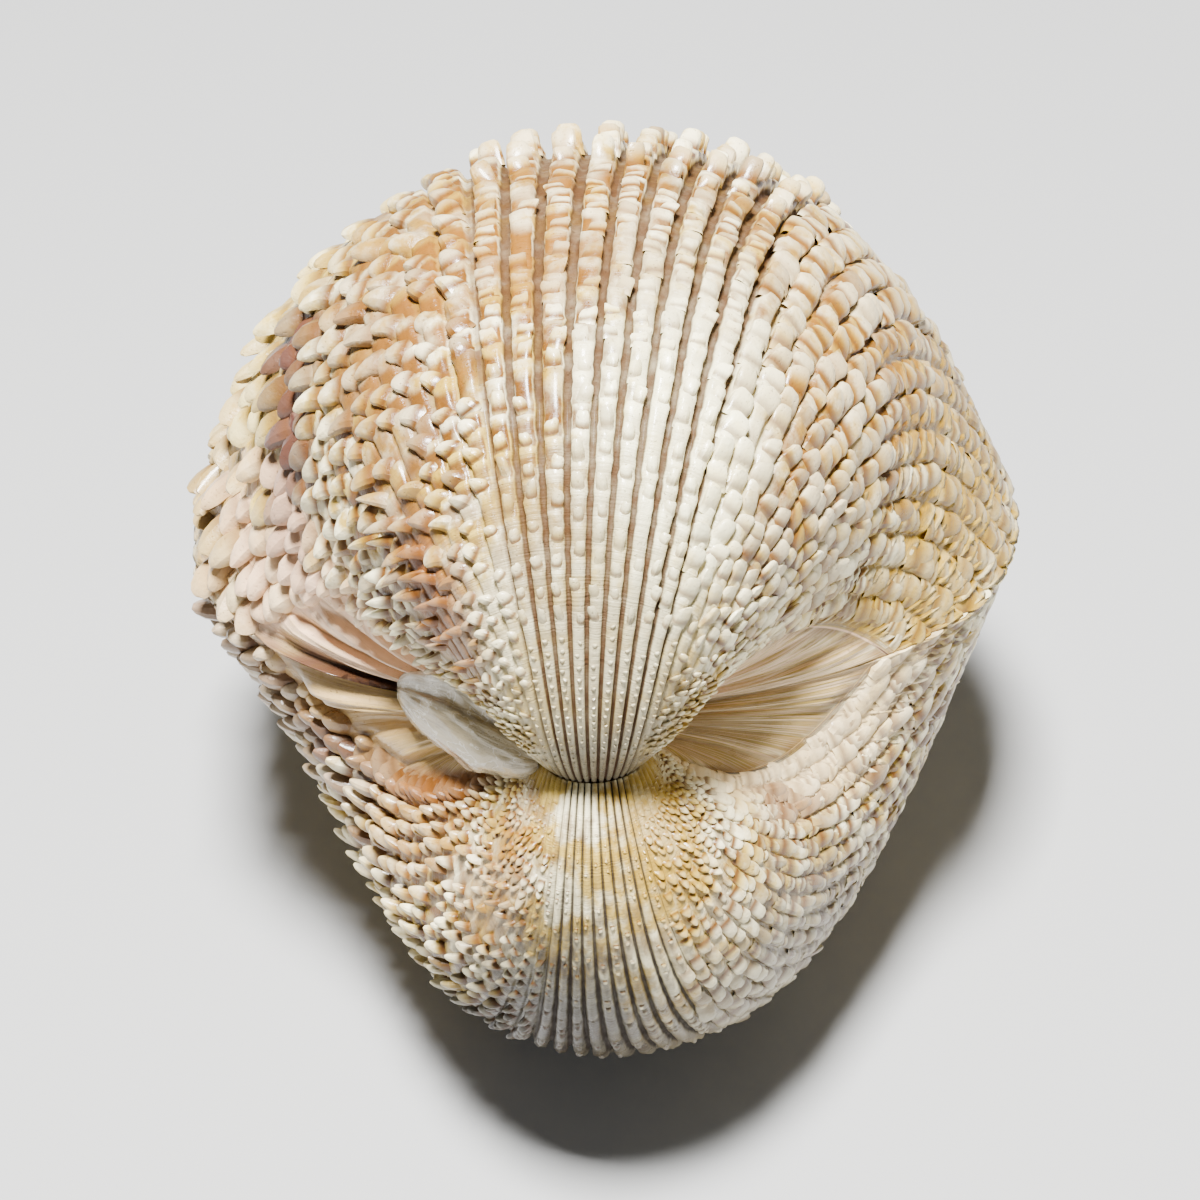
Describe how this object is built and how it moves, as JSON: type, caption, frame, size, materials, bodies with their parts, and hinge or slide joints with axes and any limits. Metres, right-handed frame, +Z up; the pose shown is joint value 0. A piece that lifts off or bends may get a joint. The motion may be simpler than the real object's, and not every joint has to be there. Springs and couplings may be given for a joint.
{
  "type": "cockle shell",
  "caption": "Closed pair of deep, rounded cockle valves with radiating prickly ribs, beaks nearly touching and a dried ligament behind them, lying on the lower valve.",
  "frame": {"origin": "middle of the shell's outline seen from above, on the surface it lies on", "axes": "+X to the front end of the shell, away from the ligament; +Y from the hinge to the far margin; +Z up"},
  "size_m": [0.0568, 0.064, 0.0571],
  "materials": {
    "upper_shell": "satin",
    "lower_shell": "satin",
    "ligament": "gloss"
  },
  "bodies": {
    "root": {"upper_valve": "upper_shell", "lower_valve": "lower_shell", "ligament": "ligament"}
  },
  "joints": []
}
